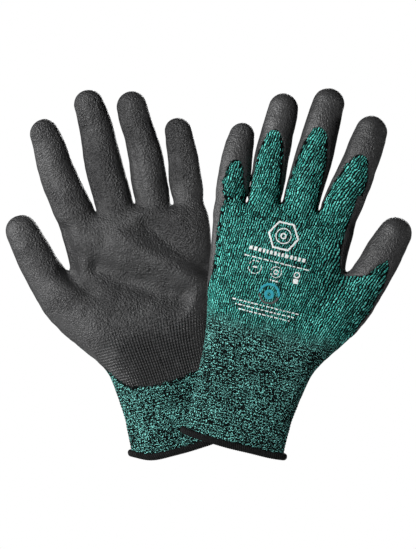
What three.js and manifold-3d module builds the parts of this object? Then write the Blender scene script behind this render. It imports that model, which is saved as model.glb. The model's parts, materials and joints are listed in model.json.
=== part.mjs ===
// A pair of cut resistant work gloves as they look when worn: each is a seamless knitted shell with a
// dipped polyurethane coating over the palm and fingertips, a knitted wrist with laid-in elastic, an
// overlocked hem and a heat-transfer print on the back. Both are left-hand gloves. The rear one shows
// its palm and the front one its back, and their cuffs cross.
//
// Units are millimetres. Each glove is modelled in its own frame: the origin is the centre of the wrist
// opening, +X points to the thumb side, +Y to the palm side and +Z to the fingertips. Every finger is
// cut at its knuckles, so that it bends towards the palm.

import * as THREE from "three";
import { mergeVertices } from "three/addons/utils/BufferGeometryUtils.js";
import Module from "manifold-3d";

const wasm = await Module();
wasm.setup();

// ---------------------------------------------------------------- driving dimensions
const COATING = 0.8; // polyurethane film
const LAYER_GAP = 0.3; // between the film and the knit under it
const KNIT = 1.4; // knitted wall
const WALL = COATING + LAYER_GAP + KNIT;
const CUT = 0.4; // gap between two segments of a finger
// A notch runs this far past the skin, and opens this many degrees wider than the joint closes.
const NOTCH = { past: 3, spare: 2 };
const HINGE_DEPTH = 3.2; // a finger's hinge line lies this far under its palm-side surface

const TILT_DEG = 14; // each glove leans this far from upright, away from the other
const FRONT_SHIFT = [40, -36, 0]; // front wrist opening from the rear one

// Outline of the hand without its thumb, from the wrist opening to the finger roots:
// [height, little-finger side, thumb side, thickness]
const HAND = [
  [0, -39, 34, 27],
  [30, -38.5, 33.5, 28],
  [64, -38.5, 40, 32],
  [82, -41, 43, 33.5],
  [105, -47, 45.5, 33],
  [140, -52.5, 44.5, 30],
  [160, -56, 43.5, 26],
  [171, -56, 43, 20],
  [176, -53, 39, 12],
];

// Each finger: where its knuckle hinges lie on its centre line, its angle from the hand's axis, its
// half width at the root and near the tip, and how far it reaches.
const FINGERS = {
  index: { root: [31, 181], angle: 7, half: [12.4, 11.4], joints: [0, 24, 45], reach: 67.5 },
  middle: { root: [3.6, 181], angle: 1.4, half: [12.6, 11.4], joints: [0, 27, 52], reach: 77.5 },
  ring: { root: [-23.4, 180], angle: -1.6, half: [11.6, 10.7], joints: [0, 24, 45], reach: 68.5 },
  little: { root: [-46.9, 178], angle: -3, half: [10.4, 9.2], joints: [0, 16, 29.5], reach: 43.5 },
};
const SEGMENTS = ["base", "middle", "tip"];
const FINGER_BEND = [75, 90, 60]; // how far each knuckle closes, in degrees
const FLATNESS = 0.8; // a finger's thickness over its width
const CURL = 6; // a fingertip leans this far to the palm side
// A finger's loft starts this deep inside the hand, at these shares of its size, and is full at level.
const ROOT = { depth: 24, width: 0.72, thickness: 0.5, level: -3 };
// The dip line on a digit: it starts this far below the last hinge, climbs this much for each length, and
// reaches the back this far behind the hinge.
const DIP = { length: 34, slope: 0.42, behind: 3 };
const TIP_LENGTH = 40; // longer than any fingertip
const TIP_ROUND = 1.15; // length of a fingertip's rounded end over its half width
const TIP_RINGS = [38, 70]; // rings of the rounded end, in degrees from its start

// The thumb from inside the ball of the hand to its tip: [across, height, half width, half thickness]
const THUMB = [
  [22, 62, 12, 11],
  [37, 90, 16, 15],
  [49.5, 112, 16.2, 14.5],
  [58.8, 129, 13.3, 12.5],
  [64, 143, 12.5, 11],
  [70, 162, 12.3, 10.4],
];
const THUMB_ANGLE = 18;
const THUMB_TIP = 20; // from the last station to the very tip
const THUMB_TIP_START = 0.35; // share of that length before the tip starts to round over
const THUMB_TIP_RINGS = [20, 48, 74]; // in degrees from there
const THUMB_ROOT = [61.2, 136.5];
const THUMB_HALF = 12.9; // half width of the thumb between its hinges
// [segment, along the thumb from THUMB_ROOT, half thickness there, how far it closes]
const THUMB_HINGES = [
  ["base", 0, 11.6, 55],
  ["tip", 22, 10.8, 75],
];
const THUMB_REACH = 46; // from THUMB_ROOT to the tip

// Overlocked edge round the wrist opening: its shoulders stand this share of proud, so far from its ends
const HEM = { low: -2.4, high: 3.4, proud: 1.3, shoulder: 0.7, round: 1.2, inside: 0.4 };
const CUFF_TOP = 24; // the cuff ends here and the stretching wrist section begins
const HAND_START = 44; // where the wrist section ends
const WRIST_HINGE = 34;
const HEEL = 46; // lower edge of the coating
const ELASTIC = { low: 6, high: 21, thick: 0.7 };
const PRINT = { across: [-27, 19], along: [92, 163], thick: 0.3 };

const FINGER_SIDES = 8;
const HAND_SIDES = 16;
const HAND_POWER = 2.5; // squareness of the hand's section: 2 is an ellipse
const SCRAP = 20; // a leftover of the cuts is smaller than this, in cubic millimetres
const OVERCUT = 1; // a cutter runs this far past what it cuts

// ---------------------------------------------------------------- solids from three.js geometry
function toSolid(geometry) {
  const bare = new THREE.BufferGeometry();
  bare.setAttribute("position", geometry.getAttribute("position"));
  if (geometry.index) bare.setIndex(geometry.index);
  const merged = mergeVertices(bare, 1e-3);
  return new wasm.Manifold(
    new wasm.Mesh({
      numProp: 3,
      vertProperties: new Float32Array(merged.attributes.position.array),
      triVerts: new Uint32Array(merged.index.array),
    }),
  );
}

function toGeometry(solid) {
  const mesh = solid.getMesh();
  const geometry = new THREE.BufferGeometry();
  geometry.setAttribute("position", new THREE.BufferAttribute(mesh.vertProperties.slice(), 3));
  geometry.setIndex(new THREE.BufferAttribute(mesh.triVerts.slice(), 1));
  const flat = geometry.toNonIndexed();
  flat.computeVertexNormals();
  return flat;
}

// Closed body through rings of equal size, each a list of Vector3 that runs anticlockwise seen from the
// next ring.
function loft(rings) {
  const sides = rings[0].length;
  const positions = rings.flat().flatMap((p) => [p.x, p.y, p.z]);
  const faces = [];
  for (let r = 0; r + 1 < rings.length; r++) {
    for (let i = 0; i < sides; i++) {
      const a = r * sides + i;
      const b = r * sides + ((i + 1) % sides);
      faces.push(a, b, b + sides, a, b + sides, a + sides);
    }
  }
  for (const [ring, turn] of [[0, -1], [rings.length - 1, 1]]) {
    const centre = new THREE.Vector3();
    rings[ring].forEach((p) => centre.addScaledVector(p, 1 / sides));
    const middle = positions.length / 3;
    positions.push(centre.x, centre.y, centre.z);
    for (let i = 0; i < sides; i++) {
      const a = ring * sides + i;
      const b = ring * sides + ((i + 1) % sides);
      if (turn > 0) faces.push(middle, a, b);
      else faces.push(middle, b, a);
    }
  }
  const geometry = new THREE.BufferGeometry();
  geometry.setAttribute("position", new THREE.Float32BufferAttribute(positions, 3));
  geometry.setIndex(faces);
  return toSolid(geometry);
}

// Ring of a rounded section: power 2 is an ellipse, and more is squarer. Its sides touch that curve.
function ring(centre, across, through, halfWidth, halfThickness, sides, power = 2) {
  const points = [];
  const outward = 1 / Math.cos(Math.PI / sides);
  for (let i = 0; i < sides; i++) {
    const turn = (2 * Math.PI * (i + 0.5)) / sides;
    const round = (x) => Math.sign(x) * Math.min(outward * Math.abs(x), 1) ** (2 / power);
    points.push(
      centre
        .clone()
        .addScaledVector(across, halfWidth * round(Math.cos(turn)))
        .addScaledVector(through, halfThickness * round(Math.sin(turn))),
    );
  }
  return points;
}

// Outline in the plane of direction and through, given as [along, towards the palm], extruded evenly to
// both sides of a centre.
function extrudeAcross(outline, width, centre, direction, through) {
  const shape = new THREE.Shape(outline.map(([along, out]) => new THREE.Vector2(along, out)));
  const geometry = new THREE.ExtrudeGeometry(shape, { depth: width, bevelEnabled: false });
  geometry.translate(0, 0, -width / 2);
  const basis = new THREE.Matrix4().makeBasis(direction, through, direction.clone().cross(through));
  basis.setPosition(centre);
  geometry.applyMatrix4(basis);
  return toSolid(geometry);
}

function box(low, high) {
  const size = high.map((h, i) => h - low[i]);
  const geometry = new THREE.BoxGeometry(...size);
  geometry.translate(...low.map((l, i) => l + size[i] / 2));
  return toSolid(geometry);
}

// ---------------------------------------------------------------- fingers
const radians = THREE.MathUtils.degToRad;

// Centre line of a finger: position, direction along it, and the direction across it.
function fingerFrame(finger, along) {
  const angle = radians(finger.angle);
  const share = Math.max(along, 0) / finger.reach;
  const lean = Math.atan((2 * CURL * share) / finger.reach);
  const forward = new THREE.Vector3(Math.sin(angle), 0, Math.cos(angle));
  const across = new THREE.Vector3(Math.cos(angle), 0, -Math.sin(angle));
  const centre = new THREE.Vector3(finger.root[0], CURL * share ** 2, finger.root[1]);
  centre.addScaledVector(forward, along);
  const direction = new THREE.Vector3(0, Math.sin(lean), 0).addScaledVector(forward, Math.cos(lean));
  const through = direction.clone().cross(across);
  return { centre, direction, across, through };
}

function fingerHalfWidth(finger, along) {
  const share = THREE.MathUtils.clamp(along / finger.reach, 0, 1);
  return THREE.MathUtils.lerp(finger.half[0], finger.half[1], share);
}

// Stations up a finger from inside the hand, then over its rounded tip.
function fingerBody(finger, inset) {
  const rings = [];
  const tipRound = finger.half[1] * TIP_ROUND;
  const add = (along, widthScale, thicknessScale = widthScale) => {
    const frame = fingerFrame(finger, along);
    const half = (fingerHalfWidth(finger, along) - inset) * widthScale;
    const thick = (fingerHalfWidth(finger, along) * FLATNESS - inset) * thicknessScale;
    rings.push(ring(frame.centre, frame.across, frame.through, half, thick, FINGER_SIDES));
  };
  add(-ROOT.depth, ROOT.width, ROOT.thickness);
  for (const along of [ROOT.level, ...finger.joints.slice(1), finger.reach - tipRound]) add(along, 1);
  for (const turn of TIP_RINGS.map(radians)) {
    add(finger.reach - tipRound + (tipRound - inset) * Math.sin(turn), Math.cos(turn));
  }
  return loft(rings);
}

function thumbBody(inset) {
  const points = THUMB.map(([x, z]) => new THREE.Vector3(x, 0, z));
  const end = new THREE.Vector3(Math.sin(radians(THUMB_ANGLE)), 0, Math.cos(radians(THUMB_ANGLE)));
  const rings = THUMB.map(([, , half, thick], i) => {
    const before = points[Math.max(i - 1, 0)];
    const after = points[Math.min(i + 1, points.length - 1)];
    const direction = i === points.length - 1 ? end.clone() : after.clone().sub(before).normalize();
    const across = new THREE.Vector3(direction.z, 0, -direction.x);
    return ring(points[i], across, new THREE.Vector3(0, 1, 0), half - inset, thick - inset, FINGER_SIDES);
  });
  const [, , half, thick] = THUMB[THUMB.length - 1];
  const across = new THREE.Vector3(end.z, 0, -end.x);
  THUMB_TIP_RINGS.map(radians).forEach((turn) => {
    const tip = points[points.length - 1].clone();
    const share = THUMB_TIP_START + (1 - THUMB_TIP_START) * Math.sin(turn);
    tip.addScaledVector(end, (THUMB_TIP - inset) * share);
    const scale = Math.cos(turn);
    const through = new THREE.Vector3(0, 1, 0);
    rings.push(ring(tip, across, through, (half - inset) * scale, (thick - inset) * scale, FINGER_SIDES));
  });
  return loft(rings);
}

// Point on the thumb's straight end, from its first hinge.
function thumbAt(along) {
  const angle = radians(THUMB_ANGLE);
  return new THREE.Vector3(
    THUMB_ROOT[0] + along * Math.sin(angle),
    0,
    THUMB_ROOT[1] + along * Math.cos(angle),
  );
}

// ---------------------------------------------------------------- the hand
function handHalves(height) {
  const above = HAND.findIndex(([h]) => h >= height);
  const [h1, left1, right1, thick1] = HAND[Math.max(above, 1)];
  const [h0, left0, right0, thick0] = HAND[Math.max(above, 1) - 1];
  const share = (height - h0) / (h1 - h0);
  const mix = (a, b) => THREE.MathUtils.lerp(a, b, share);
  return { left: mix(left0, left1), right: mix(right0, right1), thick: mix(thick0, thick1) };
}

function handRing(height, at, inset) {
  const { left, right, thick } = handHalves(at);
  const centre = new THREE.Vector3((left + right) / 2, 0, height);
  const across = new THREE.Vector3(1, 0, 0);
  const through = new THREE.Vector3(0, 1, 0);
  return ring(centre, across, through, (right - left) / 2 - inset, thick / 2 - inset, HAND_SIDES, HAND_POWER);
}

function palmBody(inset, start) {
  const last = HAND[HAND.length - 1][0];
  const heights = [start, ...HAND.map(([h]) => h).filter((h) => h > Math.max(start, 0))];
  return loft(heights.map((h) => handRing(h === last ? h - inset : h, Math.max(h, 0), inset)));
}

// The whole glove's shape, shrunk by inset. start is the height of its flat lower end.
function form(inset, start) {
  let whole = palmBody(inset, start).add(thumbBody(inset));
  for (const finger of Object.values(FINGERS)) whole = whole.add(fingerBody(finger, inset));
  return whole;
}

// ---------------------------------------------------------------- cutters
// Each bending line of a digit: its name, centre, direction along the digit, direction to the palm side,
// half width, half thickness and how far it closes.
function hinges() {
  const found = [];
  for (const [name, finger] of Object.entries(FINGERS)) {
    finger.joints.forEach((along, i) => {
      const frame = fingerFrame(finger, along);
      const half = fingerHalfWidth(finger, along);
      const thick = half * FLATNESS;
      found.push({ name: `${name}_${SEGMENTS[i]}`, ...frame, half, thick, bend: FINGER_BEND[i] });
    });
  }
  for (const [segment, along, thick, bend] of THUMB_HINGES) {
    const centre = thumbAt(along);
    const direction = thumbAt(along + 1).sub(centre);
    const through = new THREE.Vector3(0, 1, 0);
    found.push({ name: `thumb_${segment}`, centre, direction, through, half: THUMB_HALF, thick, bend });
  }
  return found;
}

// What is removed at a bending line: a thin gap from the back down to the hinge line, and a notch that
// opens from the hinge line to the palm side, so that the two segments never meet.
function hingeCutter(hinge) {
  const reach = hinge.thick + NOTCH.past;
  const axis = hinge.thick - HINGE_DEPTH;
  const flare = (reach - axis) * Math.tan(radians(hinge.bend / 2 + NOTCH.spare)) + CUT / 2;
  const outline = [
    [-CUT / 2, -reach],
    [CUT / 2, -reach],
    [CUT / 2, axis],
    [flare, reach],
    [-flare, reach],
    [-CUT / 2, axis],
  ];
  return extrudeAcross(outline, 2 * hinge.half + OVERCUT, hinge.centre, hinge.direction, hinge.through);
}

const FAR = 400;
const levelCut = (height) => box([-FAR, -FAR, height - CUT / 2], [FAR, FAR, height + CUT / 2]);

// The coated side of a digit up to its last hinge: its upper face follows the dip line, which climbs
// towards the back of the fingertip.
function dipSlab({ centre, direction, through, half, thick }) {
  const back = -thick - OVERCUT;
  return extrudeAcross(
    [
      [-DIP.length, back + DIP.length * DIP.slope],
      [-DIP.behind, back],
      [0, back],
      [0, thick * 2],
      [-DIP.length, thick * 2],
    ],
    2 * (half + OVERCUT),
    centre,
    direction,
    through,
  );
}

// Everything of a digit that lies beyond its last hinge.
function tipSlab({ centre, direction, through, half, thick }) {
  const reach = 3 * thick;
  const outline = [
    [0, -reach],
    [TIP_LENGTH, -reach],
    [TIP_LENGTH, reach],
    [0, reach],
  ];
  return extrudeAcross(outline, 2 * (half + OVERCUT), centre, direction, through);
}

// ---------------------------------------------------------------- the glove's pieces, by name
function gloveSolids() {
  const outer = form(0, HEM.low);
  const underCoating = form(COATING, HEM.low);
  const knitOuter = form(COATING + LAYER_GAP, HEM.low);
  const inside = form(WALL, HEM.low - 5);
  const cuts = hinges();
  const joints = cuts.map(hingeCutter);
  const cutAll = (solid) => joints.reduce((rest, cutter) => rest.subtract(cutter), solid);

  const lastHinges = cuts.filter((cut) => cut.name.endsWith("_tip"));
  const tips = lastHinges.map(tipSlab).reduce((all, slab) => all.add(slab));

  // knitted shell, with the parts beyond the last knuckles left to the fully coated tips
  const bare = knitOuter.subtract(inside);
  const knit = cutAll(bare).subtract(tips);
  // fully coated fingertips
  const tipShell = cutAll(outer.subtract(inside)).intersect(tips);
  // film on the palm side
  let palmSide = box([-FAR, 0, HEEL], [FAR, FAR, FAR]);
  for (const hinge of lastHinges) palmSide = palmSide.add(dipSlab(hinge));
  const film = cutAll(outer.subtract(underCoating)).intersect(palmSide).subtract(tips);
  const cuffCut = levelCut(CUFF_TOP).add(levelCut(HAND_START)).add(levelCut(HEM.high));
  const knitParts = knit.subtract(cuffCut).decompose();
  const tipParts = tipShell.decompose();
  const filmParts = film.decompose();

  const solids = new Map();
  // The part of a set whose middle is nearest to a point: small leftovers of the cuts are never named.
  const pick = (parts, point) => {
    const distance = (solid) => {
      const { min, max } = solid.boundingBox();
      return Math.hypot(...point.map((p, i) => p - (min[i] + max[i]) / 2));
    };
    return parts.filter((s) => s.volume() > SCRAP).sort((a, b) => distance(a) - distance(b))[0];
  };

  solids.set("hand_knit", pick(knitParts, [0, 0, 110]));
  solids.set("wrist_knit", pick(knitParts, [0, 0, (CUFF_TOP + HAND_START) / 2]));
  solids.set("cuff_knit", pick(knitParts, [0, 0, (HEM.high + CUFF_TOP) / 2]));
  solids.set("palm_coating", pick(filmParts, [5, 8, 110]));

  const middleOf = (name, from, to) => {
    const finger = FINGERS[name];
    return fingerFrame(finger, (from + to) / 2).centre.toArray();
  };
  for (const [name, finger] of Object.entries(FINGERS)) {
    const stops = [...finger.joints, finger.reach];
    ["base", "middle"].forEach((segment, i) => {
      const at = middleOf(name, stops[i], stops[i + 1]);
      solids.set(`${name}_${segment}_knit`, pick(knitParts, at));
      solids.set(`${name}_${segment}_coating`, pick(filmParts, at));
    });
    solids.set(`${name}_tip`, pick(tipParts, middleOf(name, stops[2], stops[3])));
  }
  const lastThumbHinge = THUMB_HINGES[1][1];
  const thumbBase = thumbAt(lastThumbHinge / 2).toArray();
  solids.set("thumb_base_knit", pick(knitParts, thumbBase));
  solids.set("thumb_base_coating", pick(filmParts, thumbBase));
  solids.set("thumb_tip", pick(tipParts, thumbAt((lastThumbHinge + THUMB_REACH) / 2).toArray()));

  solids.set("hem_binding", hemBinding());
  solids.set("cuff_elastic", cuffElastic());
  solids.set("back_print", backPrint());
  return solids;
}

// Rounded overlock round the edge of the wrist opening.
function hemBinding() {
  const middle = (HEM.low + HEM.high) / 2;
  const top = HEM.high - CUT;
  const stations = [
    [HEM.low, COATING],
    [HEM.low + HEM.round, -HEM.proud * HEM.shoulder],
    [middle, -HEM.proud],
    [top - HEM.round, -HEM.proud * HEM.shoulder],
    [top, COATING],
  ];
  const outside = loft(stations.map(([height, inset]) => handRing(height, 0, inset)));
  const ends = [HEM.low - OVERCUT, top + OVERCUT];
  const hole = loft(ends.map((height) => handRing(height, 0, WALL + HEM.inside)));
  return outside.subtract(hole);
}

// Sleeve that stands for the rubber yarn laid into the inside of the cuff.
function cuffElastic() {
  const heights = [ELASTIC.low, ELASTIC.high];
  const outside = loft(heights.map((h) => handRing(h, h, WALL + LAYER_GAP)));
  const wide = [ELASTIC.low - OVERCUT, ELASTIC.high + OVERCUT];
  const hole = loft(wide.map((h, i) => handRing(h, heights[i], WALL + LAYER_GAP + ELASTIC.thick)));
  return outside.subtract(hole);
}

// Film of the heat-transfer print, which lies on the knit on the back of the hand.
function backPrint() {
  const lift = LAYER_GAP + PRINT.thick;
  const low = COATING + LAYER_GAP - lift;
  const film = palmBody(low, HEM.low).subtract(palmBody(low + PRINT.thick, HEM.low - OVERCUT));
  const area = box([PRINT.across[0], -FAR, PRINT.along[0]], [PRINT.across[1], 0, PRINT.along[1]]);
  return film.intersect(area);
}

// ---------------------------------------------------------------- materials
// By the last word of a piece's name.
const MATERIALS = {
  coating: new THREE.MeshStandardMaterial({ color: 0x2a2a2b, roughness: 0.6, metalness: 0 }),
  tip: new THREE.MeshStandardMaterial({ color: 0x2a2a2b, roughness: 0.6, metalness: 0 }),
  binding: new THREE.MeshStandardMaterial({ color: 0x161617, roughness: 0.9, metalness: 0 }),
  elastic: new THREE.MeshStandardMaterial({ color: 0x3a3a3a, roughness: 0.8, metalness: 0 }),
  print: new THREE.MeshStandardMaterial({ color: 0xf2f2f2, roughness: 0.7, metalness: 0 }),
  knit: new THREE.MeshStandardMaterial({ color: 0x2f8f7c, roughness: 0.95, metalness: 0 }),
};

function glove(prefix, solids) {
  const group = new THREE.Group();
  for (const [name, solid] of solids) {
    const mesh = new THREE.Mesh(toGeometry(solid), MATERIALS[name.split("_").pop()]);
    mesh.name = `${prefix}_${name}`;
    group.add(mesh);
  }
  return group;
}

// ---------------------------------------------------------------- the pair
const solids = gloveSolids();

const rearGlove = glove("rear", solids);
rearGlove.rotation.z = Math.PI; // palm towards -Y
const rear = new THREE.Group();
rear.add(rearGlove);
rear.rotation.y = -radians(TILT_DEG);

const front = glove("front", solids);
front.rotation.y = radians(TILT_DEG);
front.position.set(...FRONT_SHIFT);

const pair = new THREE.Group();
pair.add(rear, front);

export default pair;
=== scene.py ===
"""A pair of worn cut resistant gloves: knitted shells, dipped palms, overlocked hems and a generic print.

Each glove grows its own skin from a distance field in the glove's frame (millimetres; X to the thumb, Y to the
palm side, Z to the fingertips, origin at the wrist opening). The skin is cut into closed pieces at the dip line
and between the joints, and placed where the frame has that glove's wrist opening.
"""

import json
import math

import bpy
import numpy as np
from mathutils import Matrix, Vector
from mathutils.bvhtree import BVHTree


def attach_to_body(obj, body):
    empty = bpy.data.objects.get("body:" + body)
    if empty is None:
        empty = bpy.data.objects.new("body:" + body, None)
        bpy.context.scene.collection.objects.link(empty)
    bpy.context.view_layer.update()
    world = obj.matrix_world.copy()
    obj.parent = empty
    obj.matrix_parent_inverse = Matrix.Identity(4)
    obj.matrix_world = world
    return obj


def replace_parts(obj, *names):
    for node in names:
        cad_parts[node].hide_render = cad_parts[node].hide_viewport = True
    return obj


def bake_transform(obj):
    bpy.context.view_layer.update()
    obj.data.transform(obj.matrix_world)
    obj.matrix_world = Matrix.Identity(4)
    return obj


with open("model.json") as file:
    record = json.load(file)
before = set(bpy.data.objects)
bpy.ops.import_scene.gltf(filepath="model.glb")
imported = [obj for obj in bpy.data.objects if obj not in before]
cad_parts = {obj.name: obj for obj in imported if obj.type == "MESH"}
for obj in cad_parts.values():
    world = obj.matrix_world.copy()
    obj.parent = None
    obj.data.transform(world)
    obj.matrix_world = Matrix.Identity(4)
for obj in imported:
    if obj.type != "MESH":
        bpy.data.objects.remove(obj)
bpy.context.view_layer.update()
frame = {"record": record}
MM = 0.001

# ---------------------------------------------------------------- driving dimensions, in millimetres
GRID = 1.2  # spacing of the grid that the skin is grown on
CUFF_GRID = 0.6  # its spacing up the cuff, which is ribbed

HAND_SQUARENESS = 2.5  # 2 is an ellipse

# Where the hand ends between the fingers: [across, height]
WEB = [[-60, 160], [-45, 163], [-34, 164], [-22, 168], [-10, 170.5], [16, 171], [30, 171], [44, 168], [60, 160]]

# Each finger's root and lean, its hinges along its straight line, and its dip line on the back: how far up it
# peaks, how far round from the middle, and how far each way from there it is 1 mm down, both in degrees
FINGER_COLUMNS = ("root", "angle", "joints", "dip_top", "dip_turn", "dip_wide")
FINGERS = {
    "index": [(31, 181), 7, [0, 24, 45], 37, -3, 17],
    "middle": [(3.6, 181), 1.4, [0, 27, 52], 48, -6, 17],
    "ring": [(-23.4, 180), -1.6, [0, 24, 45], 40, -8, 17],
    "little": [(-46.9, 178), -3, [0, 16, 29.5], 15.5, -1, 14.5],
}
FINGERS = {name: dict(zip(FINGER_COLUMNS, row)) for name, row in FINGERS.items()}
FINGER_FLATNESS = 0.8  # thickness over width
CURL = 6  # a fingertip leans this far to the palm side
THUMB_DIP_TOP = [70, 151]
THUMB_HINGE, THUMB_LEAN = (61.2, 136.5), 18

# How each of the two has taken the shape of its hand.
# hand: [height, little-finger side, thumb side, thickness]
# thumb: [across, height, half width, half thickness]
# each finger: how far it reaches from the knuckle hinge, half widths along it, and how far it sways to the
# thumb side of its straight line
# folds: how deep the folds of its palm are
# hem: [across, how far its edge hangs from level]
WORN = {
    "front": {
        "folds": 0.4,
        "hem": [[-46, 4.2], [-38, 2.6], [-28, 1.7], [-10, 1.2], [10, 0.9], [26, 0.8], [34, 1.4], [40, 2.4]],
        "hand": [
            [-8, -37.5, 33.5, 25], [0, -38.5, 33.5, 26], [10, -38.5, 32.5, 27], [25, -38.5, 33, 28],
            [45, -38.5, 34.9, 30], [60, -38.5, 38.2, 32], [75, -40, 42, 33], [95, -45, 44, 33.5],
            [120, -49, 44.5, 32.5], [140, -52, 42.6, 31], [155, -54.2, 42.2, 28], [168, -57, 43.5, 24],
            [180, -57, 43.5, 21], [200, -57, 43, 20],
        ],
        "thumb": [
            [20, 66, 13, 12], [33, 84, 16, 15.5], [45.2, 104, 17.7, 15.5], [54, 119, 15.7, 14],
            [60.4, 134, 13.5, 12], [64.7, 148, 13, 11.2], [68.2, 161, 12.4, 10.6], [71.5, 171.7, 11.1, 9.8],
        ],
        "index": [
            65.4,
            [[-24, 9.5], [-8, 13], [0, 13.8], [9, 13.5], [19, 13.1], [29, 12.2], [48, 11.7], [55.5, 10.7]],
            [[-24, 0], [0, -0.4], [10, 0], [20, 0.5], [50, 0.8], [66, 0.2]],
        ],
        "middle": [
            76.5,
            [[-24, 9], [-8, 12.2], [0, 12.4], [19, 12.8], [29, 12.7], [39, 12.1], [49, 11.6], [59, 11.3], [66, 10.7]],
            [[-24, -0.6], [0, -1.1], [20, -0.9], [50, -0.8], [60, -1.1], [76, -1.4]],
        ],
        "ring": [
            66.3,
            [[-24, 8.5], [-8, 11.2], [0, 11.3], [10, 11.6], [30, 11.6], [40, 10.9], [50, 10.5], [57, 9.9]],
            [[-24, 0], [0, 0.4], [10, -0.2], [20, -0.7], [40, -1.1], [50, -0.5], [60, 0]],
        ],
        "little": [
            41.6,
            [[-20, 8.5], [-6, 11.2], [0, 11.4], [12, 10.6], [22, 9.6], [29, 9], [34.5, 8.3]],
            [[-20, 0.4], [-3, 0.9], [2, 0.4], [12, -0.1], [22, -0.4], [32, 0], [43, 0.4]],
        ],
    },
    "rear": {
        "folds": 1.0,
        "hem": [[-42, -0.2], [-25, -2.8], [-8, -3.7], [8, -4.0], [18, -4.0], [26, -2.6], [33, 1.6], [40, 6]],
        "hand": [
            [-8, -37.5, 34.8, 25], [0, -38.5, 34.6, 26], [10, -38.5, 33.5, 27], [25, -38.5, 33, 28],
            [45, -38.5, 33.6, 30], [60, -38.5, 35.8, 32], [75, -40.5, 40, 33], [95, -47, 44, 33.5],
            [120, -53, 45, 32.5], [140, -57.5, 44, 31], [155, -59.1, 43.8, 28], [168, -60, 45, 24],
            [180, -60, 45, 21], [200, -60, 45, 20],
        ],
        "thumb": [
            [20, 66, 12, 11.5], [32.4, 84, 15.6, 15.5], [44.8, 104, 17.9, 15.5], [55, 119, 16.2, 14],
            [61.2, 134, 13.9, 12], [65.5, 148, 13.1, 11.2], [68.6, 161, 12.3, 10.6], [71.5, 173.7, 11.3, 10],
        ],
        "index": [
            65,
            [[-24, 10], [-8, 13.6], [0, 13.9], [9, 13.4], [19, 13.1], [29, 12.2], [39, 11.6], [47, 11], [53.5, 10]],
            [[-24, 1], [0, 1.9], [10, 2.7], [20, 2.9], [30, 2.9], [40, 1.9], [50, 1.5], [64, 1.7]],
        ],
        "middle": [
            76.8,
            [[-24, 9.5], [-8, 12.9], [9, 13.2], [19, 13.1], [29, 12.7], [39, 11.9], [49, 11.5], [59, 11], [66, 10.2]],
            [[-24, 0], [20, 0], [29, -0.6], [39, -1.3], [49, -2], [59, -2.2], [77, -1.8]],
        ],
        "ring": [
            69.6,
            [[-24, 9], [-8, 12.1], [0, 12.4], [10, 12.3], [20, 11.9], [30, 11.6], [40, 10.9], [58, 10.5]],
            [[-24, -0.4], [0, -0.7], [10, -1.1], [20, -1.8], [30, -2.1], [40, -1.8], [50, -0.6], [60, 0]],
        ],
        "little": [
            46,
            [[-20, 8.5], [-6, 11.3], [0, 11.6], [12, 10.6], [22, 9.9], [30, 9.5], [36.5, 9.1]],
            [[-20, -1.5], [-3, -2.1], [2, -2], [12, -3.3], [22, -3.6], [32, -3.9], [46, -3.9]],
        ],
    },
}

WALL = 1.3  # knit
COATING = 0.3  # how far the coating stands proud of the knit
CUFF_RIB = 2.1  # one band of elastic yarn to the next
CUFF_START, CUFF_END, WRIST_END = 2.3, 24.0, 44.0  # the wrist piece lies between the last two


# ---------------------------------------------------------------- fields
def smooth_column(table, column, blur=5.0):
    """A column of a table of stations as a smooth function of the first column."""
    table = np.array(table, float)
    fine = np.arange(table[0, 0] - 40, table[-1, 0] + 40, 1.0)
    values = np.interp(fine, table[:, 0], table[:, column])
    reach = np.arange(-20, 21)
    kernel = np.exp(-0.5 * (reach / blur) ** 2)
    values = np.convolve(np.pad(values, 20, mode="edge"), kernel / kernel.sum(), mode="valid")
    return lambda x: np.interp(x, fine, values)


web_height = smooth_column(WEB, 1, blur=3.0)


class Shape:
    """The form of one worn glove, as smooth functions of its tables."""

    def __init__(self, side):
        worn = WORN[side]
        self.left, self.right, self.thickness = (smooth_column(worn["hand"], i) for i in (1, 2, 3))
        self.hem = smooth_column(worn["hem"], 1)
        self.folds = worn["folds"]
        self.fingers = {}
        for name, finger in FINGERS.items():
            reach, half, sway = worn[name]
            self.fingers[name] = {
                **finger,
                "reach": reach,
                "start": half[0],
                "end": reach - half[-1][1],
                "half": smooth_column(half, 1, blur=2.5),
                "sway": smooth_column(sway, 1, blur=2.5),
            }
        table = np.array(worn["thumb"], float)
        length = np.concatenate([[0], np.cumsum(np.hypot(*np.diff(table[:, :2], axis=0).T))])
        columns = [smooth_column(np.column_stack([length, table[:, i]]), 1, blur=3.0) for i in range(4)]
        self.thumb = []
        for s in np.linspace(0, length[-1], CHAIN_STATIONS):
            px, pz, half, thick = (float(c(s)) for c in columns)
            self.thumb.append([px, 0.0, pz, half, thick / half])
        self.thumb = np.array(self.thumb)


def smooth_min(a, b, k):
    """The smaller of two distances, rounded where they are within k of each other."""
    h = np.maximum(k - np.abs(a - b), 0) / k
    return np.minimum(a, b) - h * h * k / 4


def smoothstep(low, high, x):
    t = np.clip((x - low) / (high - low), 0, 1)
    return t * t * (3 - 2 * t)


TOP_ROUNDING, FINGER_FILLET, THUMB_FILLET = 9.0, 5.0, 6.0  # how widely surfaces round into one another
CHAIN_STATIONS = 16


def palm_field(shape, x, y, z):
    left, right = shape.left(z), shape.right(z)
    half, thick = (right - left) / 2, shape.thickness(z) / 2
    p = HAND_SQUARENESS
    across, through = np.abs(x - (left + right) / 2) / half, np.abs(y) / thick
    rho = (across**p + through**p) ** (1 / p)
    slope = np.hypot(across ** (p - 1) / half, through ** (p - 1) / thick) * np.maximum(rho, 0.05) ** (1 - p)
    side = (rho - 1) / np.maximum(slope, 1e-3)
    top = (z - web_height(x)) * 0.9
    return -smooth_min(-side, -top, TOP_ROUNDING)


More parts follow.
